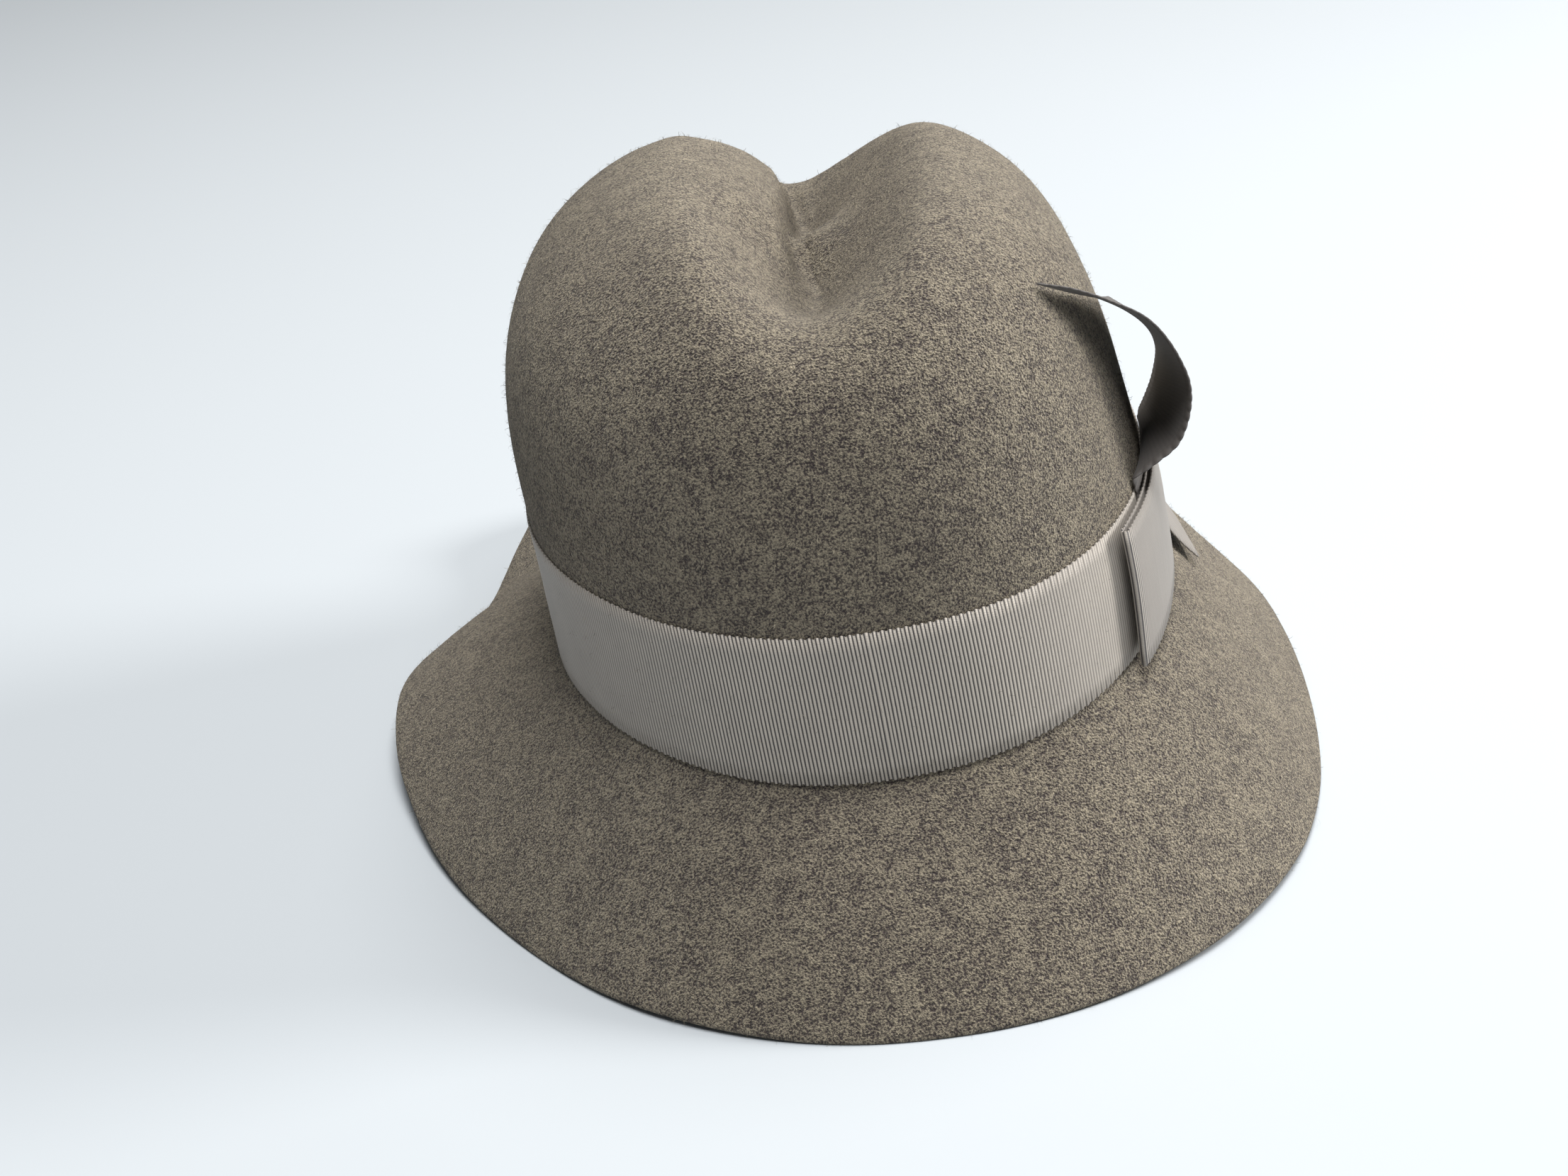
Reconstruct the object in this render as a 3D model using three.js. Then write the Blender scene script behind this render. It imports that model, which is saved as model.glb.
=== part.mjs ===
// Felt hat: one blocked felt body, a ribbon band round the crown, and a flat ribbon bow with two tails.
// Millimetres, +Z up. The front faces -Y, the wearer's left is +X, and the brim's edge stands on Z = 0.
import * as THREE from 'three';
import { mergeVertices } from 'three/addons/utils/BufferGeometryUtils.js';

// Crown
const CROWN_WIDTH = 164.4; // across the felt at the band's lower edge
const CROWN_LENGTH = 204; // front to back there
const CROWN_HEIGHT = 120.5; // from the band's lower edge to the top before it is creased
const LEFT_SQUARENESS = 2.27; // 2 is an ellipse in plan
const RIGHT_SQUARENESS = 2.5;
const SIDE_OFFSET = 1; // the crown's line is that much further to the left than its centre
const SHOULDER = 3.5; // 2 is an elliptical dome, more is squarer
const CROWN_TAPER = 0.018; // share of the plan lost by the top
const SIDE_LEAN = 4.6; // degrees that the crown leans to the wearer's left
const FORWARD_LEAN = 1.8; // degrees that it leans to the front
const SADDLE = 5.1; // rise of the band's line at the sides, and its drop at the front and back
const SIDE_SWELL = 0.7; // shift of the wall to the left above the band
const LEFT_SWELL = 1.8; // more of it on the left side, highest at about two thirds of the height
const TOP_SHIFT = 3.4; // shift of the top back to the right
const SKEW = 3.6; // rise of that line at the left back and right front, and its drop between them
const LINE_RISE = 4; // size that the rises in the line's own table are shares of

// Crease in the top
const CREASE_DEPTH = 29;
const CREASE_LEFT = 31; // half width on the wearer's left
const CREASE_RIGHT = 38;
const CREASE_SHIFT = 4; // farthest that the crease's line lies to the left
const LOBE_SKEW = 0.11; // rise of the left lobe over the right one, as a share of the distance across

// Felt and brim
const FELT = 2;
const BRIM_WIDTH = 65;
const BREAK_RADIUS = 3; // bend between the crown and the brim
const REST_FLAT = 0.6; // height of the brim's edge that is pressed flat where it stands

// Ribbon
const RIBBON_WIDTH = 36.8;
const RIBBON = 0.8;
const CLEARANCE = 0.3;
const BAND_FOOT = 0.2; // height of the ribbon's lower edge over the line where the crown meets the brim

// Brim all round: azimuth from the wearer's left in degrees, its slope down in degrees, its share of
// BRIM_WIDTH, and the slope next to the crown as a share of the whole slope
const BRIM = [
  { at: -90, slope: 24, width: 1.01, arch: 0.9 },
  { at: -60, slope: 7, width: 0.985, arch: 0.9 },
  { at: -35, slope: 34.35, width: 0.976, arch: 0.62 },
  { at: -10, slope: 29.8, width: 0.983, arch: 0.62 },
  { at: 15, slope: 43.9, width: 0.98, arch: 0.75 },
  { at: 40, slope: 50.8, width: 0.937, arch: 0.85 },
  { at: 65, slope: 46.9, width: 0.918, arch: 0.85 },
  { at: 90, slope: 44.5, width: 0.957, arch: 0.85 },
  { at: 115, slope: 47.5, width: 0.981, arch: 0.85 },
  { at: 140, slope: 50.9, width: 1.021, arch: 0.85 },
  { at: 165, slope: 53.7, width: 1.071, arch: 0.9 },
  { at: 190, slope: 51, width: 1.105, arch: 1 },
  { at: 215, slope: 49.3, width: 1.095, arch: 1 },
  { at: 240, slope: 37.8, width: 1.049, arch: 0.95 },
];

// Rise of the band's line round the crown, as a share of LINE_RISE, by the same azimuth
const LINE = [
  { at: -90, rise: 0 },
  { at: -30, rise: 0 },
  { at: 10, rise: 0.325 },
  { at: 40, rise: 0.225 },
  { at: 65, rise: 0.1 },
  { at: 90, rise: 0.075 },
  { at: 105, rise: 0.425 },
  { at: 120, rise: 0.8 },
  { at: 138, rise: 0.825 },
  { at: 165, rise: 0.325 },
  { at: 190, rise: 0 },
  { at: 230, rise: 0 },
];

// Crease along the top: place as a share of half the length, back positive, then depth and width as shares,
// how sharp its valley is, and how far it lies to the left
const CREASE = [
  { at: -0.98, depth: 0.05, width: 0.6, sharp: 1.6, aside: -0.5 },
  { at: -0.79, depth: 0.42, width: 0.8, sharp: 1.5, aside: -0.5 },
  { at: -0.59, depth: 0.82, width: 0.95, sharp: 1.35, aside: -0.625 },
  { at: -0.4, depth: 1.04, width: 1, sharp: 1.1, aside: -0.75 },
  { at: -0.1, depth: 1.06, width: 1, sharp: 1, aside: -0.625 },
  { at: 0.2, depth: 1.05, width: 0.95, sharp: 1.05, aside: -0.25 },
  { at: 0.45, depth: 0.9, width: 0.85, sharp: 1.3, aside: 0.25 },
  { at: 0.69, depth: 0.32, width: 0.75, sharp: 1.7, aside: 0.75 },
  { at: 0.86, depth: 0, width: 0.6, sharp: 2, aside: 1 },
];

// Bow on the wearer's right, in degrees round the crown like the brim's table
const LOOP_BACK = 136.3; // fold at the loop's back end
const LOOP_GAP = 0.4; // air between the loop's two layers
const FOLD_LIFT = 0.9; // how much further the folded end stands off the band
const FOLD_LEAN = 2.2; // how far the fold's foot is behind its top
const KNOT_WIDTH = 9;
const KNOT_DEPTH = 2.4; // at its middle, a fifth less at its edges
const KNOT_FRONT = 174; // the knot's front edge
const CURL_RISE = 62; // top of the curled tail over the band's top edge
const CURL_REACH = 19.3; // farthest that it stands out from the crown
const TAIL_REACH = 11; // how far the front tail's end stands out from the crown
const TAIL_START = 0.3; // where it starts, as a share of RIBBON_WIDTH over the band's lower edge
const TAIL_DROP = 6; // how far its end hangs below that edge
const TAIL_SLANT = 0.45; // reach of its front selvedge as a share of the back one's

// Curled tail from the band's top edge to its tip. Near and far are its two selvedges: where they are round
// the crown in degrees, their height over the band's top edge as a share of CURL_RISE, and their distance out
// from the crown as a share of CURL_REACH
const CURL = [
  { at: 0, near: 149.6, nearUp: 0.07, nearOut: 0.085, far: 171.9, farUp: 0.035, farOut: 0.085 },
  { at: 0.1, near: 151, nearUp: 0.12, nearOut: 0.34, far: 172.4, farUp: 0.06, farOut: 0.1 },
  { at: 0.22, near: 152.6, nearUp: 0.21, nearOut: 0.71, far: 172.7, farUp: 0.1, farOut: 0.19 },
  { at: 0.36, near: 153.7, nearUp: 0.4, nearOut: 0.98, far: 172.7, farUp: 0.2, farOut: 0.37 },
  { at: 0.5, near: 153.2, nearUp: 0.587, nearOut: 0.99, far: 172.9, farUp: 0.307, farOut: 0.51 },
  { at: 0.64, near: 151.6, nearUp: 0.75, nearOut: 0.85, far: 172.4, farUp: 0.393, farOut: 0.545 },
  { at: 0.78, near: 147.6, nearUp: 0.866, nearOut: 0.6, far: 171.9, farUp: 0.485, farOut: 0.485 },
  { at: 0.9, near: 143.4, nearUp: 0.945, nearOut: 0.36, far: 171.5, farUp: 0.573, farOut: 0.32 },
  { at: 1, near: 139.6, nearUp: 0.985, nearOut: 0.1, far: 171.2, farUp: 0.63, farOut: 0.16 },
];

// Facets
const COLUMNS = 72; // round the hat
const CROWDING = 0.25; // how much closer they stand at the front and back, in radians
const WALL_RINGS = 5; // from the band's line up to WALL_SHARE of the dome's side
const WALL_SHARE = 0.34;
const DOME_RINGS = 15;
const BRIM_SHARES = [0.012, 0.026, 0.045, 0.075, 0.16, 0.3, 0.46, 0.62, 0.78, 0.9, 1];
const CUT_BEVEL = 0.35; // of the brim's cut edge, as a share of FELT
const LOOP_STEPS = 9;
const CURL_STEPS = 20;
const ACROSS = Array.from({ length: 9 }, (_, i) => i / 8); // points across a tail

const radians = THREE.MathUtils.degToRad;
const half = { x: CROWN_WIDTH / 2, y: CROWN_LENGTH / 2 };

// Smooth curve through one column of a table, closed round the circle where a turn is given
function follow(table, column, at, turn = 0) {
  const count = table.length;
  const place = (i) => {
    const row = turn ? table[((i % count) + count) % count] : table[THREE.MathUtils.clamp(i, 0, count - 1)];
    const laps = turn ? Math.floor(i / count) : 0;
    return { at: row.at + laps * turn, value: row[column] };
  };
  const wanted = turn
    ? table[0].at + THREE.MathUtils.euclideanModulo(at - table[0].at, turn)
    : THREE.MathUtils.clamp(at, table[0].at, table[count - 1].at);
  let i = 0;
  while (i < count - (turn ? 1 : 2) && place(i + 1).at <= wanted) i += 1;
  const [before, from, to, after] = [place(i - 1), place(i), place(i + 1), place(i + 2)];
  const step = to.at - from.at;
  const slopeIn = (to.value - before.value) / (to.at - before.at);
  const slopeOut = (after.value - from.value) / (after.at - from.at);
  const t = (wanted - from.at) / step;
  return (
    (2 * t ** 3 - 3 * t ** 2 + 1) * from.value +
    (t ** 3 - 2 * t ** 2 + t) * step * slopeIn +
    (3 * t ** 2 - 2 * t ** 3) * to.value +
    (t ** 3 - t ** 2) * step * slopeOut
  );
}

// Columns stand closer together at the front and the back, where the crease runs
const azimuths = Array.from({ length: COLUMNS }, (_, i) => {
  const turn = (2 * Math.PI * i) / COLUMNS;
  return turn + CROWDING * Math.sin(2 * turn);
});

function planOf(azimuth) {
  const squareness = Math.cos(azimuth) > 0 ? LEFT_SQUARENESS : RIGHT_SQUARENESS;
  const power = (value) => Math.sign(value) * Math.abs(value) ** (2 / squareness);
  const across = SIDE_OFFSET + half.x * power(Math.cos(azimuth));
  return new THREE.Vector2(across, half.y * power(Math.sin(azimuth)));
}

// Horizontal direction out of the crown's plan
function outward(azimuth) {
  const along = planOf(azimuth + 0.01).sub(planOf(azimuth - 0.01));
  return new THREE.Vector3(along.y, -along.x, 0).normalize();
}

// The dome's side view, as shares of the plan and the height, at even steps from the band's line to the top
const profile = (() => {
  const fine = Array.from({ length: 400 }, (_, i) => {
    const angle = (Math.PI / 2) * (i / 399);
    const rise = Math.sin(angle) ** (2 / SHOULDER);
    const taper = 1 - CROWN_TAPER * THREE.MathUtils.smoothstep(rise, 0, 0.5);
    return new THREE.Vector2(taper * Math.cos(angle) ** (2 / SHOULDER), rise);
  });
  const lengths = [0];
  for (let i = 1; i < fine.length; i += 1) {
    const run = (fine[i].x - fine[i - 1].x) * half.x;
    const climb = (fine[i].y - fine[i - 1].y) * CROWN_HEIGHT;
    lengths.push(lengths[i - 1] + Math.hypot(run, climb));
  }
  const total = lengths[lengths.length - 1];
  return (share) => {
    let i = 1;
    while (i < lengths.length - 1 && lengths[i] < share * total) i += 1;
    const t = (share * total - lengths[i - 1]) / (lengths[i] - lengths[i - 1]);
    return fine[i - 1].clone().lerp(fine[i], THREE.MathUtils.clamp(t, 0, 1));
  };
})();

// How far the crease lowers the top
function crease(x, y) {
  const at = y / half.y;
  const depth = CREASE_DEPTH * follow(CREASE, 'depth', at);
  const aside = x - CREASE_SHIFT * follow(CREASE, 'aside', at);
  const halfWidth = (aside > 0 ? CREASE_LEFT : CREASE_RIGHT) * follow(CREASE, 'width', at);
  const across = Math.min(1, Math.abs(aside) / halfWidth);
  const sharp = follow(CREASE, 'sharp', at);
  return depth * (1 - across ** sharp) ** 1.5;
}

const leaning = new THREE.Matrix4()
  .makeRotationY(radians(SIDE_LEAN))
  .multiply(new THREE.Matrix4().makeRotationX(radians(FORWARD_LEAN)));

function saddle(azimuth, rise) {
  const raised = LINE_RISE * follow(LINE, 'rise', THREE.MathUtils.radToDeg(azimuth), 360);
  return (1 - rise) * (SADDLE * Math.cos(2 * azimuth) + SKEW * Math.sin(2 * azimuth) + raised);
}

const settle = (point) => point.applyMatrix4(leaning);

// A point of the crown's outside, from the band's line (share 0) to the top (share 1)
function crownPoint(azimuth, share) {
  const side = profile(share);
  const plan = planOf(azimuth).multiplyScalar(side.x);
  const z = CROWN_HEIGHT * side.y + saddle(azimuth, side.y) + LOBE_SKEW * plan.x * side.y;
  const rising = THREE.MathUtils.smoothstep(side.y, 0.2, 0.55);
  const bulge = rising - THREE.MathUtils.smoothstep(side.y, 0.75, 0.95);
  const fuller = LEFT_SWELL * Math.max(0, Math.cos(azimuth)) * bulge;
  const swell = SIDE_SWELL * THREE.MathUtils.smoothstep(side.y, 0.15, 0.5) + fuller;
  const shift = TOP_SHIFT * THREE.MathUtils.smoothstep(side.y, 0.6, 1);
  return settle(new THREE.Vector3(plan.x + swell - shift, plan.y, z - crease(plan.x, plan.y)));
}

// The brim's upper face, from the band's line (share 0) to its edge (share 1)
function brimColumn(azimuth) {
  const degrees = THREE.MathUtils.radToDeg(azimuth);
  const slope = radians(follow(BRIM, 'slope', degrees, 360));
  const width = BRIM_WIDTH * follow(BRIM, 'width', degrees, 360);
  const first = slope * follow(BRIM, 'arch', degrees, 360);
  const bend = BREAK_RADIUS * (Math.PI / 2 - first);
  const steps = 200;
  const length = width + bend * 0.5;
  const path = [new THREE.Vector2(0, 0)];
  for (let i = 0; i < steps; i += 1) {
    const s = (length * (i + 0.5)) / steps;
    const angle = s < bend
      ? Math.PI / 2 - s / BREAK_RADIUS
      : first + (2 * (slope - first) * (s - bend)) / (length - bend);
    const last = path[path.length - 1];
    const step = new THREE.Vector2(Math.cos(angle), Math.sin(angle)).multiplyScalar(length / steps);
    path.push(last.clone().add(step));
  }
  const missing = new THREE.Vector2(width * Math.cos(slope), width * Math.sin(slope)).sub(path[steps]);
  const base = crownPoint(azimuth, 0);
  const out = outward(azimuth);
  return (share) => {
    const i = Math.min(steps - 1, Math.floor(share * steps));
    const spot = path[i].clone().lerp(path[i + 1], share * steps - i).addScaledVector(missing, share);
    return base.clone().addScaledVector(out, spot.x).add(new THREE.Vector3(0, 0, -spot.y));
  };
}

// Closed solid from a grid of rings whose columns go round; a single point closes each end
function solidOfRings(rings) {
  const positions = [];
  const starts = rings.map((ring) => {
    const start = positions.length / 3;
    ring.forEach((point) => positions.push(point.x, point.y, point.z));
    return start;
  });
  const index = [];
  for (let r = 0; r < rings.length - 1; r += 1) {
    const [lower, upper] = [rings[r], rings[r + 1]];
    const count = Math.max(lower.length, upper.length);
    for (let c = 0; c < count; c += 1) {
      const next = (c + 1) % count;
      const a = starts[r] + (lower.length === 1 ? 0 : c);
      const b = starts[r] + (lower.length === 1 ? 0 : next);
      const d = starts[r + 1] + (upper.length === 1 ? 0 : c);
      const e = starts[r + 1] + (upper.length === 1 ? 0 : next);
      if (a !== b) index.push(a, e, b);
      if (d !== e) index.push(a, d, e);
    }
  }
  const geometry = new THREE.BufferGeometry();
  geometry.setAttribute('position', new THREE.Float32BufferAttribute(positions, 3));
  geometry.setIndex(index);
  return geometry;
}

// Closed solid from rings that come back to the first one
function solidOfLoop(rings) {
  return mergeVertices(solidOfRings([...rings, rings[0]]), 1e-4);
}

function normalsOf(rings) {
  const geometry = solidOfRings(rings);
  geometry.computeVertexNormals();
  const normals = geometry.getAttribute('normal');
  let i = 0;
  return rings.map((ring) => ring.map(() => {
    const normal = new THREE.Vector3().fromBufferAttribute(normals, i);
    i += 1;
    return normal;
  }));
}

const FELT_COLOR = 0x6f6a5e;
const RIBBON_COLOR = 0x6d6c68;
const group = new THREE.Group();
function add(name, geometry, color, roughness) {
  const mesh = new THREE.Mesh(geometry, new THREE.MeshStandardMaterial({ color, roughness, metalness: 0 }));
  mesh.name = name;
  group.add(mesh);
  return mesh;
}

// Felt body: the outside from the top down to the brim's edge, the cut edge, then the inside back up
const columnsOfBrim = azimuths.map(brimColumn);
const crownShares = [
  ...Array.from({ length: DOME_RINGS }, (_, i) => 1 - (1 - WALL_SHARE) * ((i + 1) / DOME_RINGS)),
  ...Array.from({ length: WALL_RINGS }, (_, i) => WALL_SHARE * (1 - (i + 1) / WALL_RINGS)),
];
const outside = [
  [crownPoint(0, 1)],
  ...crownShares.map((share) => azimuths.map((azimuth) => crownPoint(azimuth, share))),
  ...BRIM_SHARES.map((share) => columnsOfBrim.map((column) => column(share))),
];
const outsideNormals = normalsOf(outside);
const inside = outside.map((ring, r) => ring.map((point, c) => (
  point.clone().addScaledVector(outsideNormals[r][c], -FELT))));
const last = outside.length - 1;
const cutEdge = outside[last].map((point, c) => point.clone().lerp(inside[last][c], 1 - CUT_BEVEL));
const underEdge = inside[last].map((point, c) => {
  const inward = inside[last - 1][c].clone().sub(point).normalize();
  return point.clone().addScaledVector(inward, CUT_BEVEL * FELT);
});
const shell = [...outside, cutEdge, underEdge, ...inside.slice(0, last).reverse()];
const lowest = Math.min(...underEdge.map((point) => point.z), ...cutEdge.map((point) => point.z));
shell.forEach((ring) => ring.forEach((point) => {
  point.z = Math.max(0, point.z - lowest - REST_FLAT);
}));
add('felt_body', facingOut(solidOfRings(shell)), FELT_COLOR, 0.95);

// Ribbon pieces are placed by degrees round the crown, height over the band's lower edge and distance out
const lift = -lowest - REST_FLAT;
function shareOfHeight(height) {
  let [low, high] = [0, 1];
  for (let i = 0; i < 40; i += 1) {
    const middle = (low + high) / 2;
    if (profile(middle).y * CROWN_HEIGHT < height) low = middle;
    else high = middle;
  }
  return low;
}
function onCrown(azimuth, height, out) {
  const point = crownPoint(azimuth, shareOfHeight(Math.max(0, height)));
  point.z += lift + Math.min(0, height);
  return point.addScaledVector(outward(azimuth), out);
}
const bandTop = BAND_FOOT + RIBBON_WIDTH;
const bandOut = CLEARANCE + RIBBON;

// Band round the foot of the crown
const bandHeights = [0, 0.25, 0.5, 0.75, 1].map((share) => BAND_FOOT + share * RIBBON_WIDTH);
const bandRing = (height, out) => azimuths.map((azimuth) => onCrown(azimuth, height, out));
const bandLoop = [
  ...bandHeights.map((height) => bandRing(height, CLEARANCE)),
  ...bandHeights.slice().reverse().map((height) => bandRing(height, bandOut)),
];
add('hat_band', facingOut(solidOfLoop(bandLoop)), RIBBON_COLOR, 0.6);

// Solid strip from rings across it, each one face's points and then the other's backwards, with closed ends
function strip(rings) {
  const geometry = solidOfRings(rings);
  const count = rings[0].length;
  const index = Array.from(geometry.index.array);
  [0, (rings.length - 1) * count].forEach((start, end) => {
    for (let k = 0; k < count / 2 - 1; k += 1) {
      const [p, q, r, t] = [start + k, start + k + 1, start + count - 2 - k, start + count - 1 - k];
      if (end === 0) index.push(p, q, r, p, r, t);
      else index.push(p, r, q, p, t, r);
    }
  });
  geometry.setIndex(index);
  return facingOut(geometry);
}

function facingOut(geometry) {
  const position = geometry.getAttribute('position');
  const index = geometry.index.array;
  const corner = (i) => new THREE.Vector3().fromBufferAttribute(position, index[i]);
  let volume = 0;
  for (let i = 0; i < index.length; i += 3) volume += corner(i).dot(corner(i + 1).cross(corner(i + 2)));
  if (volume < 0) geometry.setIndex(Array.from(index).reverse());
  return geometry;
}

// Loop of the bow: two upright layers of ribbon, folded at the back
const curlOut = bandOut + CLEARANCE + RIBBON / 2;
const innerLayer = curlOut + RIBBON + CLEARANCE;
const outerLayer = innerLayer + RIBBON + LOOP_GAP;
const perMillimetre = 1 / Math.sqrt((half.x ** 2 + half.y ** 2) / 2);
const knotFront = radians(KNOT_FRONT);
const knotBack = knotFront - KNOT_WIDTH * perMillimetre;
const loopFront = knotBack - CLEARANCE * perMillimetre;
const loopLength = (loopFront - radians(LOOP_BACK)) / perMillimetre;
const foldRadius = (outerLayer - innerLayer) / 2;
const loopPath = [
  ...Array.from({ length: LOOP_STEPS }, (_, i) => (
    new THREE.Vector2((loopLength * i) / LOOP_STEPS, innerLayer))),
  ...Array.from({ length: 7 }, (_, i) => {
    const turn = (Math.PI * i) / 6;
    return new THREE.Vector2(
      loopLength + foldRadius * Math.sin(turn),
      (innerLayer + outerLayer) / 2 - foldRadius * Math.cos(turn),
    );
  }),
  ...Array.from({ length: LOOP_STEPS }, (_, i) => (
    new THREE.Vector2((loopLength * (LOOP_STEPS - 1 - i)) / LOOP_STEPS, outerLayer))),
];
const loopRings = loopPath.map((spot, i) => {
  const ahead = loopPath[Math.min(i + 1, loopPath.length - 1)];
  const along = ahead.clone().sub(loopPath[Math.max(i - 1, 0)]).normalize();
  const corner = (side, share) => {
    const run = spot.x - side * along.y * (RIBBON / 2) + FOLD_LEAN * (0.5 - share) * (spot.x / loopLength);
    const out = spot.y + side * along.x * (RIBBON / 2) + FOLD_LIFT * (spot.x / loopLength) ** 2;
    return onCrown(loopFront - run * perMillimetre, BAND_FOOT + share * RIBBON_WIDTH, out);
  };
  return [[-1, 0], [-1, 0.5], [-1, 1], [1, 1], [1, 0.5], [1, 0]].map(([side, share]) => corner(side, share));
});
add('bow_loop', strip(loopRings), RIBBON_COLOR, 0.6);

// Knot that holds the loop's front end and both tails
const knotOut = innerLayer - RIBBON / 2;
const knotRings = Array.from({ length: 5 }, (_, i) => {
  const azimuth = THREE.MathUtils.lerp(knotBack, knotFront, i / 4);
  const swell = KNOT_DEPTH * (0.8 + 0.2 * Math.sin((Math.PI * i) / 4));
  return [[0, 0.02], [0, 0.5], [0, 0.98], [1, 0.98], [1, 0.5], [1, 0.02]].map(([face, share]) => (
    onCrown(azimuth, BAND_FOOT + share * RIBBON_WIDTH, knotOut + face * swell)));
});
add('bow_knot', strip(knotRings), RIBBON_COLOR, 0.6);

// Curled tail: upright behind the loop, out over the band's top edge and back to the crown, cut on a slant
const curlUpright = [0.06, 0.3, 0.55, 0.8, 0.97].map((share) => ({
  near: [CURL[0].near, BAND_FOOT + share * RIBBON_WIDTH, curlOut],
  far: [CURL[0].far, BAND_FOOT + share * RIBBON_WIDTH, curlOut],
}));
const curlFree = Array.from({ length: CURL_STEPS }, (_, i) => {
  const at = (i + 1) / CURL_STEPS;
  const row = (column) => follow(CURL, column, at);
  return {
    near: [row('near'), bandTop + CURL_RISE * row('nearUp'), CURL_REACH * row('nearOut')],
    far: [row('far'), bandTop + CURL_RISE * row('farUp'), CURL_REACH * row('farOut')],
  };
});
const curlEdges = [...curlUpright, ...curlFree].map(({ near, far }) => ACROSS.map((across) => {
  const straight = [near, far].map(([azimuth, height, out]) => onCrown(radians(azimuth), height, out));
  const [azimuth, height, out] = near.map((value, i) => THREE.MathUtils.lerp(value, far[i], across));
  const hugging = onCrown(radians(azimuth), height, out);
  const close = 1 - THREE.MathUtils.smoothstep(Math.max(near[2], far[2]), curlOut, 4 * curlOut);
  return straight[0].lerp(straight[1], across).lerp(hugging, close);
}));
function thicken(rows) {
  return rows.map((row, i) => {
    const along = (k) => rows[Math.min(i + 1, rows.length - 1)][k].clone().sub(rows[Math.max(i - 1, 0)][k]);
    const faces = row.map((point, k) => {
      const over = row[Math.min(k + 1, row.length - 1)].clone().sub(row[Math.max(k - 1, 0)]);
      return along(k).cross(over).normalize().multiplyScalar(RIBBON / 2);
    });
    return [
      ...row.map((point, k) => point.clone().add(faces[k])),
      ...row.map((point, k) => point.clone().sub(faces[k])).reverse(),
    ];
  });
}
add('bow_curl_tail', strip(thicken(curlEdges)), RIBBON_COLOR, 0.6);

// Short tail that comes out below the knot and lies outwards over the brim, cut on a slant
const tailRows = [0, 0.2, 0.4, 0.6, 0.8, 1].map((at) => ACROSS.map((across) => {
  const azimuth = knotFront + (CLEARANCE + RIBBON_WIDTH * across) * perMillimetre;
  const reach = THREE.MathUtils.lerp(1, TAIL_SLANT, across) * TAIL_REACH;
  const out = curlOut + reach * at ** 1.3;
  const drop = THREE.MathUtils.lerp(TAIL_START * RIBBON_WIDTH, -TAIL_DROP, at ** 0.6);
  const height = drop * (1 - 0.4 * across);
  return onCrown(azimuth, height, out);
}));
add('bow_front_tail', strip(thicken(tailRows)), RIBBON_COLOR, 0.6);

// The frame's origin is on the floor under the middle of the whole
const middle = new THREE.Box3().setFromObject(group).getCenter(new THREE.Vector3());
group.position.set(-middle.x, -middle.y, 0);

export default group;
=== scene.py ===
from collections import namedtuple
from math import ceil, cos, floor, pi, radians, sin

import bmesh
import bpy
import numpy as np
from mathutils import Matrix, Vector, noise
from mathutils.bvhtree import BVHTree


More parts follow.
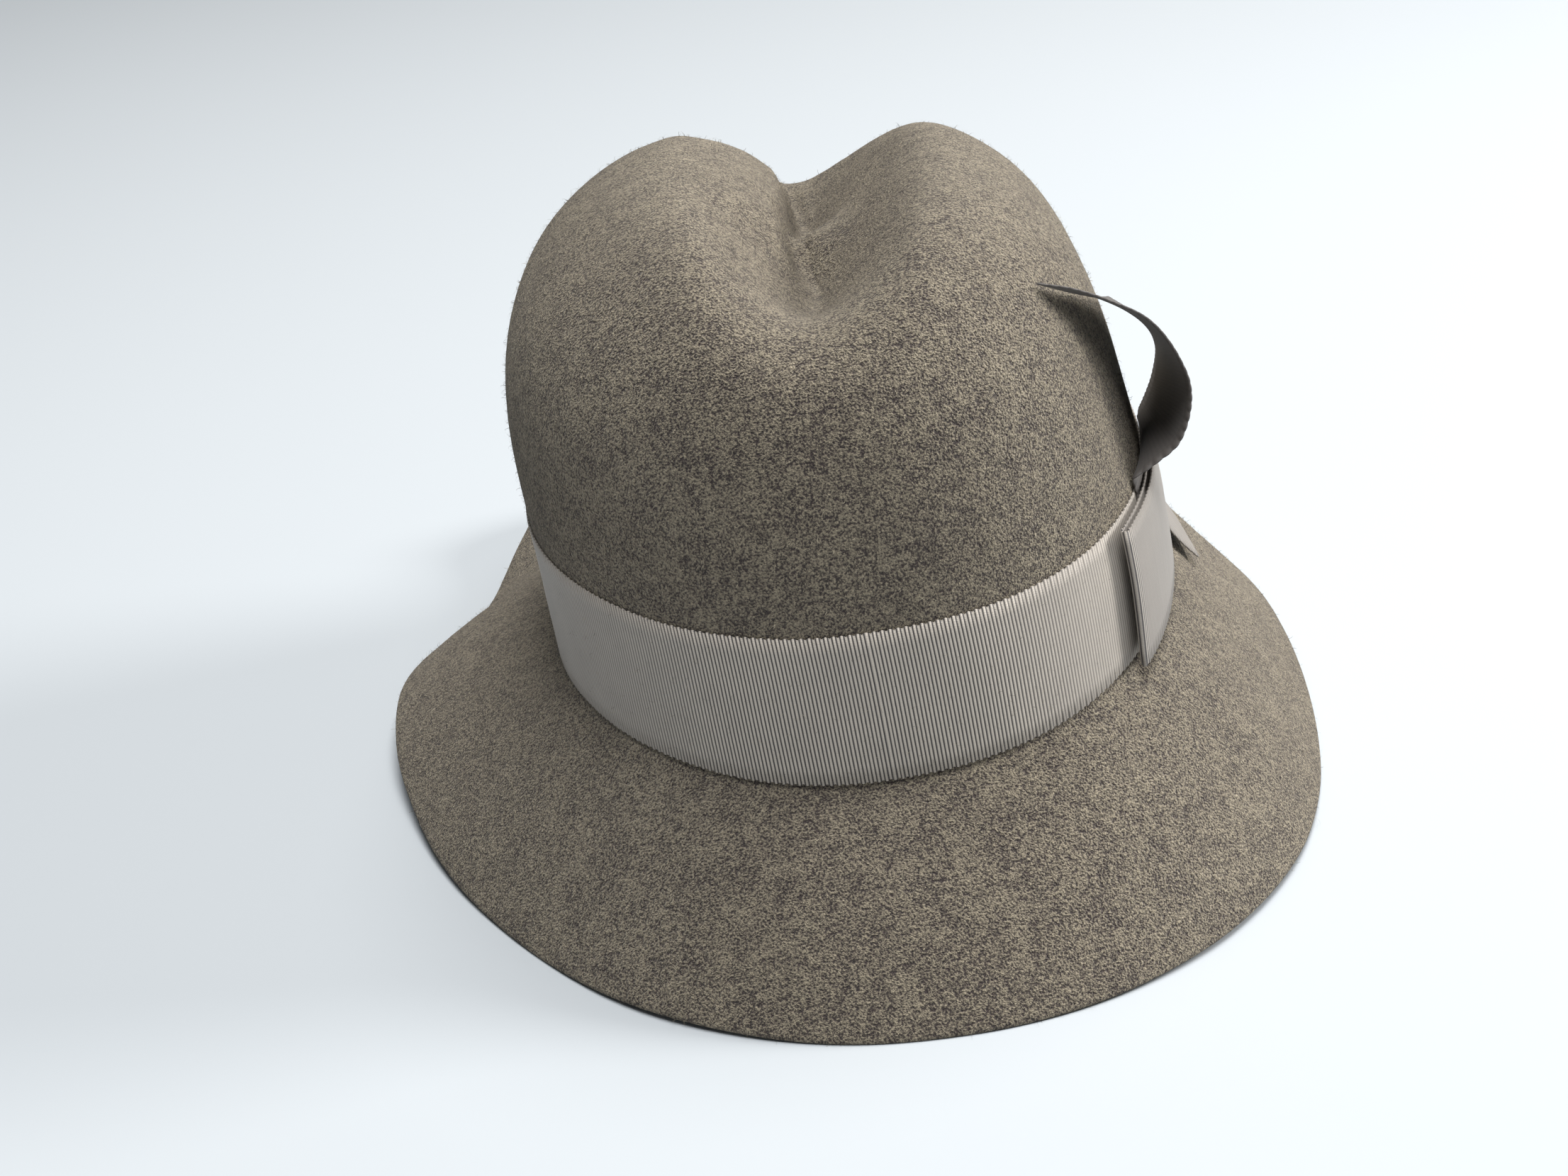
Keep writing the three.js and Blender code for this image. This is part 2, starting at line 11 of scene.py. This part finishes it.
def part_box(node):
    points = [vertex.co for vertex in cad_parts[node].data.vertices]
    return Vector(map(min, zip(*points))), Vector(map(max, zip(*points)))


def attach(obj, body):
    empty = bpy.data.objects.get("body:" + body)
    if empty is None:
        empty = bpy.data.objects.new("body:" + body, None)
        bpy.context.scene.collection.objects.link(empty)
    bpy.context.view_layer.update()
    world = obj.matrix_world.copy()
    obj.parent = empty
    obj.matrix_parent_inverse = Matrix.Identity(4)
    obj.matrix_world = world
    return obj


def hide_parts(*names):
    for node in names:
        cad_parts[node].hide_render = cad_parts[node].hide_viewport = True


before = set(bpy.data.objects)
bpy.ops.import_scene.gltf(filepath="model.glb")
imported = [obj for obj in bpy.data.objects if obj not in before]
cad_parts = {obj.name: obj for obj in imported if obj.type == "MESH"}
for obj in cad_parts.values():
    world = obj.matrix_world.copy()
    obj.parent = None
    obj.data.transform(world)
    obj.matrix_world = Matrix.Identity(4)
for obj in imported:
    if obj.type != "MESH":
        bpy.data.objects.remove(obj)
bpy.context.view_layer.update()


# Felt body. Crown and brim are one piece of wool felt, blocked over a form while damp: a teardrop crease is
# pressed into the top, and the brim drops in slow waves to a raw cut edge. The wool is a heather of pale
# khaki and purple-black fibres, matted into short curls.
class Socket:
    """A shader socket: arithmetic on it adds Math nodes."""

    def __init__(self, tree, socket):
        self.tree = tree
        self.socket = socket

    def node(self, kind, settings=None, inputs=None, output=0):
        node = self.tree.nodes.new(kind)
        for name, value in (settings or {}).items():
            if name == "stops":
                ramp = node.color_ramp
                while len(ramp.elements) < len(value):
                    ramp.elements.new(1.0)
                for element, (position, colour) in zip(ramp.elements, value):
                    element.position = position
                    element.color = (*colour, 1.0)
            else:
                setattr(node, name, value)
        for name, value in (inputs or {}).items():
            if isinstance(value, Socket):
                self.tree.links.new(value.socket, node.inputs[name])
            else:
                node.inputs[name].default_value = value
        return Socket(self.tree, node.outputs[output])

    def math(self, operation, first, second=0.5, clamp=False):
        settings = {"operation": operation, "use_clamp": clamp}
        return self.node("ShaderNodeMath", settings, {0: first, 1: second})

    def __add__(self, other):
        return self.math("ADD", self, other)

    def __sub__(self, other):
        return self.math("SUBTRACT", self, other)

    def __rsub__(self, other):
        return self.math("SUBTRACT", other, self)

    def __mul__(self, other):
        return self.math("MULTIPLY", self, other)

    def __truediv__(self, other):
        return self.math("DIVIDE", self, other)

    def __pow__(self, other):
        return self.math("POWER", self, other)

    def __abs__(self):
        return self.math("ABSOLUTE", self)

    __radd__ = __add__
    __rmul__ = __mul__

    def clamped(self):
        return self.math("ADD", self, 0.0, clamp=True)

    def noise(self, scale, detail=2.0, roughness=0.5, distortion=0.0):
        inputs = {"Vector": self, "Scale": scale, "Detail": detail, "Roughness": roughness}
        return self.node("ShaderNodeTexNoise", None, {**inputs, "Distortion": distortion})

    def shifted(self, offset):
        return self.node("ShaderNodeMapping", None, {"Vector": self, "Location": offset})

    def mix(self, start, end):
        """Colour from start to end by this value."""
        settings = {"data_type": "RGBA", "clamp_factor": True}
        return self.node("ShaderNodeMix", settings, {0: self, 6: start, 7: end}, output=2)


def new_material(name, coordinates):
    """A material, its coordinates and its shader."""
    material = bpy.data.materials.new(name)
    material.use_nodes = True
    tree = material.node_tree
    shader = tree.nodes["Principled BSDF"]
    source = Socket(tree, None).node("ShaderNodeTexCoord", None, None, coordinates)
    return material, source, shader


def plug(source, shader, name):
    source.tree.links.new(source.socket, shader.inputs[name])


def heather(name, pale, dark, deep):
    """Felt of mixed wool: pale curled fibres matted over dark ones, thicker in some spots than in others."""
    material, place, shader = new_material(name, "Object")
    grain = place.noise(1850.0, 1.0, 0.6)
    clumps = place.noise(620.0, 2.0, 0.6, 0.5)
    patches = place.noise(130.0, 3.0, 0.6)
    mass = (grain * 0.58 + clumps * 0.27 + patches * 0.15 - 0.5) * 6.0 + 0.5
    curls = []
    for offset, scale, width in ((0.0, 620.0, 0.035), (3.1, 760.0, 0.03), (7.7, 820.0, 0.04)):
        field = place.shifted((offset, offset, offset)).noise(scale, 1.0, 0.5, 0.6)
        curls.append((1.0 - abs(field - 0.5) / width).clamped())
    fibres = (curls[0] + curls[1] * 0.8).clamped()
    colour = mass.clamped().mix(dark, pale)
    lit = tuple(1.5 * part for part in pale[:3]) + (1.0,)
    colour = (fibres * 0.45 * mass.clamped()).mix(colour, lit)
    colour = (curls[2] * (0.95 - mass * 0.5)).clamped().mix(colour, deep)
    plug(colour, shader, "Base Color")
    height = mass * 0.75 + fibres * 0.3 - curls[2] * 0.25
    bump = height.node("ShaderNodeBump", None, {"Height": height, "Strength": 0.8, "Distance": 0.0009})
    plug(bump, shader, "Normal")
    shader.inputs["Roughness"].default_value = 0.95
    shader.inputs["Specular IOR Level"].default_value = 0.15
    shader.inputs["Sheen Weight"].default_value = 0.35
    shader.inputs["Sheen Roughness"].default_value = 0.55
    shader.inputs["Sheen Tint"].default_value = (0.8, 0.74, 0.62, 1.0)
    return material


def finished(name, bm, material):
    """An object of a bmesh, smooth-shaded, with its place in its mesh."""
    mesh = bpy.data.meshes.new(name)
    bm.to_mesh(mesh)
    bm.free()
    mesh.shade_smooth()
    mesh.materials.append(material)
    piece = bpy.data.objects.new(name, mesh)
    bpy.context.scene.collection.objects.link(piece)
    return piece


felt_wool = heather(
    "felt_wool",
    pale=(0.31, 0.264, 0.193, 1.0),
    dark=(0.04, 0.028, 0.03, 1.0),
    deep=(0.018, 0.014, 0.018, 1.0),
)

bm = bmesh.new()
bm.from_mesh(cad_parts["felt_body"].data)
bmesh.ops.remove_doubles(bm, verts=bm.verts, dist=1e-5)
fan_edges = 20
fan_reach = 0.0135
fan_passes = 10
poles = [vert for vert in bm.verts if len(vert.link_edges) > fan_edges]
bmesh.ops.join_triangles(bm, faces=bm.faces, angle_face_threshold=pi, angle_shape_threshold=pi)
for pole in poles:
    around = [vert for vert in bm.verts if (vert.co - pole.co).length < fan_reach]
    near = [vert for vert in around if vert.normal.z * pole.normal.z > 0]
    for _ in range(fan_passes):
        bmesh.ops.smooth_vert(bm, verts=near, factor=0.5, use_axis_x=True, use_axis_y=True, use_axis_z=True)
blocked = finished("felt_blocked", bm, felt_wool)
smoothing = blocked.modifiers.new("smoothing", "SUBSURF")
smoothing.levels = smoothing.render_levels = 2
bpy.context.view_layer.update()
bm = bmesh.new()
bm.from_mesh(blocked.evaluated_get(bpy.context.evaluated_depsgraph_get()).to_mesh())
bpy.data.objects.remove(blocked)
shell = BVHTree.FromBMesh(bm)


def smooth_step(value):
    value = min(1.0, max(0.0, value))
    return value * value * (3 - 2 * value)


def top_at(x, y):
    hit = shell.ray_cast(Vector((x, y, 0.3)), Vector((0, 0, -1)))[0]
    return hit.z if hit else 0.0


crease_steps = [0.1 * (i / 20 - 1) for i in range(41)]
lines_across = [k * 0.0005 for k in range(-40, 41)]
crease_floor = [min((top_at(x, y), x) for x in lines_across)[1] for y in crease_steps]
press_aside = 0.0035
press_depth = 0.0032
press_half_width = 0.0045
left_fullness = 0.0048


def beside_crease(place):
    """How far to the left of the pressed line a point is."""
    return place.x - press_aside - float(np.interp(place.y, crease_steps, crease_floor))


def near_crease(place):
    return place.z > 0.1 and -0.08 < place.y < 0.045 and abs(beside_crease(place)) < 0.017


folded = [edge for edge in bm.edges if all(near_crease(vert.co) for vert in edge.verts)]
bmesh.ops.subdivide_edges(bm, edges=folded, cuts=1, use_grid_fill=True)
for vert in bm.verts:
    if vert.co.z > 0.09:
        aside = beside_crease(vert.co)
        sharp = smooth_step((vert.co.y + 0.075) / 0.025) * (1 - smooth_step((vert.co.y - 0.012) / 0.024))
        fuller = smooth_step(aside / 0.005) * (1 - smooth_step((aside - 0.007) / 0.02))
        pressed = 1 - smooth_step(abs(aside) / press_half_width)
        vert.co.z += sharp * (left_fullness * fuller - press_depth * pressed)
slow_waves = 0.00028
fine_waves = 0.00007
still_below = 0.004
for vert in bm.verts:
    slow = noise.noise(vert.co * 45.0)
    fine = noise.noise(vert.co * 260.0)
    uneven = slow_waves * slow + fine_waves * fine
    vert.co += vert.normal * uneven * min(1.0, vert.co.z / still_below)
felt_surface = BVHTree.FromBMesh(bm)
felt = finished("felt_crown_and_brim", bm, felt_wool)
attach(felt, "root")
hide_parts("felt_body")

# Loose fibres. The felt is brushed, so short curled hairs of the same wool stand off it all over, and show
# as a soft fringe along the crown, the crease and the brim's edge.
fibre_count = 26000
fibre_half_thickness = 0.00004
shortest_fibre = 0.001
longest_fibre = 0.0028
fibres_below = 0.12
dice = np.random.default_rng(11)
faces = felt.data.polygons
areas = np.array([face.area for face in faces])
outer = np.array([face.normal.z > -0.35 for face in faces])
weights = areas * np.where(outer, 1.0, fibres_below)
chosen = dice.choice(len(faces), fibre_count, p=weights / weights.sum())
bm = bmesh.new()
bmesh.ops.create_grid(bm, x_segments=2 * fibre_count - 1, y_segments=3, size=0.5)
step = 1.0 / (2 * fibre_count - 1)
between = [face for face in bm.faces if floor((face.calc_center_median().x + 0.5) / step) % 2]
bmesh.ops.delete(bm, geom=between, context="FACES")
hairs = []
for face_index in chosen:
    face = faces[face_index]
    corners = [felt.data.vertices[i].co for i in face.vertices]
    one_side = corners[0].lerp(corners[1], dice.random())
    other_side = corners[-1].lerp(corners[2 % len(corners)], dice.random())
    spot = one_side.lerp(other_side, dice.random())
    up = face.normal
    lie = up.orthogonal().normalized()
    lie.rotate(Matrix.Rotation(dice.random() * 2 * pi, 3, up))
    length = dice.uniform(shortest_fibre, longest_fibre)
    rise = dice.uniform(0.1, 0.55) * length
    curl = dice.uniform(-0.5, 0.5) * length
    hairs.append((spot, up.copy(), lie, up.cross(lie), length, rise, curl))
for vert in bm.verts:
    column = round((vert.co.x + 0.5) / step)
    spot, up, lie, side, length, rise, curl = hairs[column // 2]
    along = vert.co.y + 0.5
    half_width = (fibre_half_thickness if column % 2 else -fibre_half_thickness) * (1.1 - along)
    vert.co = (
        spot
        + lie * (along * length)
        + up * (rise * sin(along * 2.4))
        + side * (curl * along * along)
        + side * half_width
    )
fibre_wool, place, shader = new_material("fibre_wool", "Object")
fibre_stops = [(0.42, (0.03, 0.025, 0.027)), (0.5, (0.17, 0.145, 0.105)), (0.6, (0.4, 0.35, 0.255))]
fibre_colour = place.node("ShaderNodeValToRGB", {"stops": fibre_stops}, {0: place.noise(900.0, 0.0)})
plug(fibre_colour, shader, "Base Color")
shader.inputs["Roughness"].default_value = 0.8
fibres = finished("felt_loose_fibres", bm, fibre_wool)
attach(fibres, "root")


# Hat band. A grosgrain ribbon 37 mm wide is stretched round the foot of the crown: cross ribs about 1 mm
# apart, fine warp threads over them, and a selvedge of one small scallop to every two ribs.
half_width_of_crown = 0.0822
half_length_of_crown = 0.102
crown_height = 0.1205
left_squareness = 2.27
right_squareness = 2.5
side_offset = 0.001
shoulder = 3.5
crown_taper = 0.018
saddle_rise = 0.0051
saddle_skew = 0.0036
side_swell = 0.0007
left_swell = 0.0018
lobe_skew = 0.11
band_foot = 0.0002
band_stand_off = 0.00035
ribbon_width = 0.0368
ribbon_thickness = 0.00045
rib = 0.00095
rib_height = 0.00004
scallop_depth = 0.00045
mean_radius = (0.5 * (half_width_of_crown**2 + half_length_of_crown**2)) ** 0.5
lean = Matrix.Rotation(radians(4.6), 3, "Y") @ Matrix.Rotation(radians(1.8), 3, "X")
Raised = namedtuple("Raised", "at line")
raised_rows = [
    Raised(-90, 0.0), Raised(-30, 0.0), Raised(10, 0.0013), Raised(40, 0.0009), Raised(65, 0.0004),
    Raised(90, 0.0003), Raised(105, 0.0017), Raised(120, 0.0032), Raised(138, 0.0033),
    Raised(165, 0.0013), Raised(190, 0.0), Raised(230, 0.0), Raised(270, 0.0),
]


def follow(rows, column, at):
    """Smooth curve through one column of a table."""
    i = max(k for k in range(len(rows) - 1) if rows[k].at <= at or k == 0)
    before, start, end, after = (rows[min(max(k, 0), len(rows) - 1)] for k in (i - 1, i, i + 1, i + 2))
    first, last = getattr(start, column), getattr(end, column)
    step = end.at - start.at
    slope_in = (last - getattr(before, column)) / (end.at - before.at) * step
    slope_out = (getattr(after, column) - first) / (after.at - start.at) * step
    t = (at - start.at) / step
    return (
        (2 * t**3 - 3 * t**2 + 1) * first + (t**3 - 2 * t**2 + t) * slope_in
        + (3 * t**2 - 2 * t**3) * last + (t**3 - t**2) * slope_out
    )


def plan_line(azimuth):
    """The crown's oval in plan, a little squarer on the right."""
    squareness = left_squareness if cos(azimuth) > 0 else right_squareness
    across, forward = (
        size * (1 if turn > 0 else -1) * abs(turn) ** (2 / squareness)
        for size, turn in ((half_width_of_crown, cos(azimuth)), (half_length_of_crown, sin(azimuth)))
    )
    return Vector((side_offset + across, forward, 0.0))


def outward(azimuth):
    line = plan_line(azimuth + 0.01) - plan_line(azimuth - 0.01)
    return Vector((line.y, -line.x, 0.0)).normalized()


def beside_wall(azimuth, height, out):
    """A point out from the crown's wall, by its height over the wall's foot, before it is set down."""
    rise = max(0.0, height) / crown_height
    taper = 1 - crown_taper * smooth_step(rise / 0.5)
    plan = plan_line(azimuth) * (taper * (1 - rise**shoulder) ** (1 / shoulder))
    raised = follow(raised_rows, "line", (azimuth * 180 / pi + 90) % 360 - 90)
    saddle = (1 - rise) * (saddle_rise * cos(2 * azimuth) + saddle_skew * sin(2 * azimuth) + raised)
    swell = side_swell * smooth_step((rise - 0.15) / 0.35)
    swell += left_swell * max(0, cos(azimuth)) * smooth_step((rise - 0.2) / 0.35)
    point = Vector((plan.x + swell, plan.y, crown_height * rise + saddle + lobe_skew * plan.x * rise))
    return lean @ point + outward(azimuth) * out + Vector((0, 0, min(0.0, height)))


solid_band_outside = 0.0011
foot = [beside_wall(radians(turn), band_foot, solid_band_outside) for turn in range(360)]
set_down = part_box("hat_band")[0] - Vector(min(point[axis] for point in foot) for axis in range(3))


def on_wall(azimuth, height, out):
    """The same point in the hat's frame, measured from the felt's own surface."""
    away = outward(azimuth)
    point = beside_wall(azimuth, height, 0.0) + set_down
    hit = felt_surface.ray_cast(point + away * 0.03, -away, 0.06)[0] if height > -0.001 else None
    return (hit or point) + away * out


# Each piece gives how deep its ribs stand and how dark the grooves between them are painted as shade, and
# how far the whole piece is painted darker as shade.
def woven(name, place, rows=10, closed=False, face_relief_and_shade=1.0, relief_and_shade_along=None, painted_shading_level=1.0):
    """A length of ribbon: place gives the point at a share of its length and a share of its width."""
    checks = 400
    middle = [place(i / checks, 0.5) for i in range(checks + 1)]
    walked = np.cumsum([0.0] + [(b - a).length for a, b in zip(middle, middle[1:])])
    length = float(walked[-1])
    count = 2 * ceil(length / rib / 2)
    columns = 4 * count
    bm = bmesh.new()
    bmesh.ops.create_grid(bm, x_segments=columns, y_segments=rows, size=0.5)
    weave = bm.loops.layers.uv.new("weave")
    # Per point: depth of the rib relief with the painted shade in the grooves, and the piece's painted
    # shading.
    groove = bm.verts.layers.float.new("groove")
    tone = bm.verts.layers.float.new("tone")
    shares = {vert: (vert.co.x + 0.5, vert.co.y + 0.5) for vert in bm.verts}
    for face in bm.faces:
        for loop in face.loops:
            along, across = shares[loop.vert]
            loop[weave].uv = (along * count * rib, across * ribbon_width)
    for vert, (along, across) in shares.items():
        scallop = scallop_depth * abs(sin(along * count * pi / 2)) / ribbon_width
        edge = scallop * (across > 0.999) - scallop * (across < 0.001)
        at = float(np.interp(along * length, walked, np.linspace(0, 1, checks + 1)))
        vert.co = place(at, across + edge)
        vert[groove] = face_relief_and_shade if relief_and_shade_along is None else relief_and_shade_along(at)
        vert[tone] = painted_shading_level
    if closed:
        bmesh.ops.remove_doubles(bm, verts=bm.verts, dist=1e-5)
    bm.normal_update()
    for vert in list(bm.verts):
        along = shares[vert][0]
        vert.co += vert.normal * (rib_height * vert[groove] * cos(along * count * 2 * pi))
    piece = finished(name, bm, ribbon_silk)
    cloth = piece.modifiers.new("cloth", "SOLIDIFY")
    cloth.thickness = ribbon_thickness
    cloth.offset = 0.0
    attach(piece, "root")
    return piece, length


ribbon_silk, weave_place, shader = new_material("ribbon_grosgrain", "UV")
parts_of = weave_place.node("ShaderNodeSeparateXYZ", None, {0: weave_place})
along_ribbon = parts_of
across_ribbon = Socket(parts_of.tree, parts_of.socket.node.outputs[1])
around = along_ribbon * (2 * pi / rib)
crest = (along_ribbon.math("COSINE", around) * 0.5 + 0.5) ** 0.8
thread = 0.00055
threads = across_ribbon.math("COSINE", across_ribbon * (2 * pi / thread))
cloudy = weave_place.noise(90.0, 3.0, 0.6)
slub = weave_place.noise(1400.0, 2.0, 0.6)
# Painted shade: the grooves between the ribs are painted dark, as deep as the ribs are given, and each piece
# is painted darker by its own shading value.
depth = along_ribbon.node("ShaderNodeAttribute", {"attribute_name": "groove"}, None, 2)
tone = along_ribbon.node("ShaderNodeAttribute", {"attribute_name": "tone"}, None, 2)
shade = (1.0 - (1.0 - crest) * depth - (1.0 - depth) * 0.42) * tone
colour = shade.clamped().mix((0.02, 0.017, 0.02, 1.0), (0.56, 0.505, 0.437, 1.0))
mottle = (cloudy * 0.6 + slub * 0.5 + threads * 0.05).clamped()
mottle = mottle.mix((0.8, 0.8, 0.81, 1.0), (1.17, 1.16, 1.15, 1.0))
multiply = {"data_type": "RGBA", "blend_type": "MULTIPLY"}
plug(colour.node("ShaderNodeMix", multiply, {0: 1.0, 6: colour, 7: mottle}, output=2), shader, "Base Color")
relief = crest * depth * 0.5 + threads * 0.12 + slub * 0.2
bump = relief.node("ShaderNodeBump", None, {"Height": relief, "Strength": 0.6, "Distance": 0.0002})
plug(bump, shader, "Normal")
shader.inputs["Roughness"].default_value = 0.6
shader.inputs["Sheen Weight"].default_value = 0.1

seam = radians(160)


def band_relief_and_shade(along):
    """Depth of the ribs and of the painted shade in their grooves: greatest at the back, less towards the
    bow and the other side.
    """
    widest_at = 85
    from_back = (seam * 180 / pi + 360 * along - widest_at + 180) % 360 - 180
    return 0.4 + 0.75 * (1 - smooth_step((abs(from_back) - 12) / 34))


band, band_length = woven(
    "hat_band_ribbon",
    lambda along, across: on_wall(seam + 2 * pi * along, band_foot + across * ribbon_width, band_stand_off),
    closed=True,
    relief_and_shade_along=band_relief_and_shade,
)
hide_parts("hat_band")

# Bow loop. The bow's ribbon is folded back on itself at its rear end: the under layer lies on the curled
# tail, and the upper one stands off it, so the fold opens a little at the top.
loop_back = radians(136.3)
knot_front = radians(174)
knot_width = 0.009
clearance = 0.0003
knot_back = knot_front - knot_width / mean_radius
loop_front = knot_back - clearance / mean_radius
loop_reach = (loop_front - loop_back) * mean_radius
under_layer = 0.0016
upper_layer = 0.0031
fold_lift = 0.0017
fold_lean = 0.0022
fold = (upper_layer - under_layer) / 2


def loop_place(along, across):
    whole = 2 * loop_reach + pi * fold
    walked = along * whole
    if walked < loop_reach:
        run, out = walked, under_layer
    elif walked < loop_reach + pi * fold:
        turn = (walked - loop_reach) / fold
        run, out = loop_reach + fold * sin(turn), under_layer + fold * (1 - cos(turn))
    else:
        run, out = whole - walked, upper_layer
    share = run / loop_reach
    run += fold_lean * (0.5 - across) * share
    azimuth = loop_front - run / mean_radius
    return on_wall(azimuth, band_foot + across * ribbon_width, out + fold_lift * share**2)


def loop_relief_and_shade(along):
    """Depth of the ribs and of the painted shade in their grooves: great at the fold, slight on the flat
    layers.
    """
    from_fold = abs(along * (2 * loop_reach + pi * fold) - loop_reach - pi * fold / 2)
    return 0.05 + 1.1 * (1 - smooth_step((from_fold - 0.002) / 0.003))


# Painted shade: the loop is painted darker than the band.
loop, loop_length = woven("bow_folded_loop", loop_place, relief_and_shade_along=loop_relief_and_shade, painted_shading_level=0.62)
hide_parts("bow_loop")


# Centre wrap. A narrow turn of the same ribbon gathers the front end of the bow and hides the stitches that
# hold it to the band.
def wrap_place(along, across):
    lowest, margins, stand_off, depth = 0.0004, 0.0006, 0.0014, 0.0019
    azimuth = knot_back + (knot_front - knot_back) * across
    bulge = sin(pi * min(0.97, max(0.03, across))) ** 0.5
    tuck = sin(pi * min(0.985, max(0.015, along))) ** 0.3
    return on_wall(azimuth, lowest + along * (ribbon_width - margins), stand_off + depth * bulge * tuck)


wrap, wrap_length = woven("bow_centre_wrap", wrap_place, face_relief_and_shade=0.2)
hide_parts("bow_knot")

# Curled end. The longer end of the bow's ribbon stands up behind the loop, bends out over the band's top
# edge and curls back to the crown, where it is cut on a slant.
Curl = namedtuple("Curl", "at near near_up near_out far far_up far_out")
curl_rise = 0.0637
curl_reach = 0.0193
curl_rows = [
    Curl(0.0, 149.6, 0.07, 0.065, 171.9, 0.035, 0.065),
    Curl(0.1, 151.0, 0.12, 0.34, 172.4, 0.06, 0.1),
    Curl(0.22, 152.6, 0.21, 0.71, 172.7, 0.1, 0.19),
    Curl(0.36, 153.7, 0.4, 0.98, 172.7, 0.2, 0.37),
    Curl(0.5, 153.2, 0.587, 0.99, 172.9, 0.307, 0.51),
    Curl(0.64, 151.6, 0.75, 0.85, 172.4, 0.393, 0.545),
    Curl(0.78, 147.6, 0.866, 0.6, 171.9, 0.495, 0.485),
    Curl(0.9, 143.4, 0.945, 0.36, 171.5, 0.574, 0.31),
    Curl(1.0, 139.6, 0.985, 0.1, 171.2, 0.632, 0.15),
]
upright = 0.31
curl_stand_off = 0.00095


def curl_place(along, across):
    if along < upright:
        share = 0.06 + 0.94 * along / upright
        start = curl_rows[0]
        near, far = (
            (turn, ribbon_width * share + curl_rise * up * share**3, curl_stand_off)
            for turn, up in ((start.near, start.near_up), (start.far, start.far_up))
        )
    else:
        at = (along - upright) / (1 - upright)
        near, far = (
            (
                follow(curl_rows, side, at),
                ribbon_width + curl_rise * follow(curl_rows, side + "_up", at),
                curl_reach * follow(curl_rows, side + "_out", at),
            )
            for side in ("near", "far")
        )
    near_point = on_wall(radians(near[0]), near[1], near[2])
    straight = near_point.lerp(on_wall(radians(far[0]), far[1], far[2]), across)
    turn, height, out = (a + (b - a) * across for a, b in zip(near, far))
    hugging = on_wall(radians(turn), height, out)
    free = smooth_step((max(near[2], far[2]) - 0.0012) / 0.0054)
    return straight.lerp(hugging, 1 - free)


# Painted shade: the curled end is painted far darker than the band, with hardly any rib relief or groove
# shade.
curl, curl_length = woven("bow_curled_end", curl_place, face_relief_and_shade=0.1, painted_shading_level=0.25)
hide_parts("bow_curl_tail")

# Front end. The short end of the ribbon comes out below the wrap, stands away over the brim and is cut on
# a slant.
tail_reach = 0.0106
tail_slant = 0.45
tail_start = 0.17 * ribbon_width
tail_end = -0.011
tail_stand_off = 0.0012


def tail_place(along, across):
    azimuth = knot_front + (clearance + ribbon_width * across) / mean_radius
    reach = tail_reach * (1 + (tail_slant - 1) * across)
    height = (tail_start + (tail_end - tail_start) * along**0.8) * (1 - 0.4 * across)
    return on_wall(azimuth, height, tail_stand_off + reach * along**1.3)


# Painted shade: the front end is painted darker than the band.
tail, _ = woven("bow_front_end", tail_place, face_relief_and_shade=0.3, painted_shading_level=0.6)
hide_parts("bow_front_tail")

# Studio: a plain pale floor, soft light from above, behind and the hat's right, and the photograph's view.
floor_paint, place, shader = new_material("floor_paint", "Object")
shader.inputs["Base Color"].default_value = (0.485, 0.515, 0.54, 1.0)
shader.inputs["Roughness"].default_value = 0.9
bm = bmesh.new()
bmesh.ops.create_grid(bm, x_segments=1, y_segments=1, size=6.0)
ground = finished("studio_floor", bm, floor_paint)


def soft_light(name, spot, size, power, tint):
    """A round area light that shines at the hat's middle."""
    light = bpy.data.lights.new(name, "AREA")
    light.shape = "DISK"
    light.size = size
    light.energy = power
    light.color = tint
    lamp = bpy.data.objects.new(name, light)
    lamp.location = spot
    lamp.rotation_euler = (Vector((0, 0, 0.08)) - Vector(spot)).to_track_quat("-Z", "Y").to_euler()
    bpy.context.scene.collection.objects.link(lamp)


soft_light("key_light", (-0.3, -0.5, 2.0), 1.2, 30.0, (1.0, 0.985, 0.96))
soft_light("side_light", (-1.7, -0.1, 0.8), 0.6, 35.0, (1.0, 0.99, 0.97))
soft_light("top_light", (-0.2, 0.5, 2.09), 1.2, 37.0, (0.98, 0.99, 1.0))
world = bpy.data.worlds.new("studio_air")
world.use_nodes = True
sky = world.node_tree.nodes["Background"]
sky.inputs["Color"].default_value = (0.9, 0.95, 1.0, 1.0)
sky.inputs["Strength"].default_value = 0.12
bpy.context.scene.world = world

elevation = radians(28.24)
swing = radians(0.55)
roll = radians(-6.76)
hat_middle = Vector((-0.006404, 0.0078984, 0.0009394))
distance = 0.6489
shift_right = -0.0247
shift_up = 0.0349
photo_width = 2212
focal_length = 3195
sensor_width = 36
back = Vector((sin(swing) * cos(elevation), cos(swing) * cos(elevation), sin(elevation)))
level = (-back).cross(Vector((0, 0, 1))).normalized()
upright_way = level.cross(-back)
right = level * cos(roll) + upright_way * sin(roll)
up = upright_way * cos(roll) - level * sin(roll)
camera_lens = bpy.data.cameras.new("camera")
camera_lens.lens = focal_length / photo_width * sensor_width
camera_lens.sensor_width = sensor_width
camera_lens.clip_start = 0.01
camera = bpy.data.objects.new("camera", camera_lens)
turned = Matrix((right, up, back)).transposed().to_4x4()
eye = back * distance + right * shift_right + up * shift_up + hat_middle
camera.matrix_world = Matrix.Translation(eye) @ turned
bpy.context.scene.collection.objects.link(camera)
bpy.context.scene.camera = camera
bpy.context.scene.view_settings.view_transform = "Standard"
